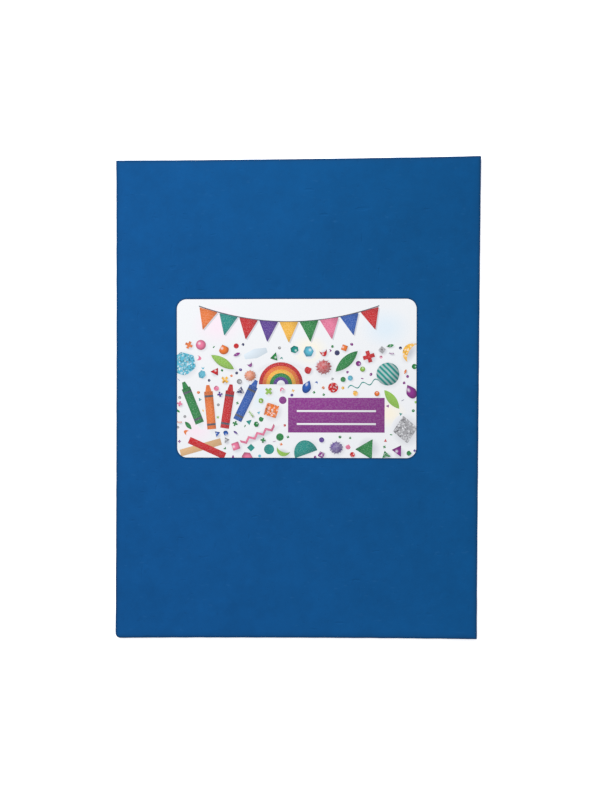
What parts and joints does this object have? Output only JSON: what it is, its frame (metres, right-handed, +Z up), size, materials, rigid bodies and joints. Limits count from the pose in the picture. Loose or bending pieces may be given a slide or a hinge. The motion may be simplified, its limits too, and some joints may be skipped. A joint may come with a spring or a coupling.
{
  "type": "craft foam sheet",
  "caption": "Flat rectangular sheet of thin closed-cell craft foam, lying flat, with a round-cornered paper label stuck on its upper face.",
  "frame": {"origin": "centre of the sheet's underside, which lies on the floor", "axes": "+Z up out of the labelled face, +Y along the sheet's long side towards the edge nearer the label, +X along its short side"},
  "size_m": [0.2316, 0.3052, 0.0025],
  "materials": {
    "foam": "matte closed-cell foam with a faint pebbled skin",
    "label_paper": "smooth coated label paper, printed in colour"
  },
  "bodies": {
    "root": {"foam_sheet": "foam", "label": "label_paper"}
  },
  "joints": []
}
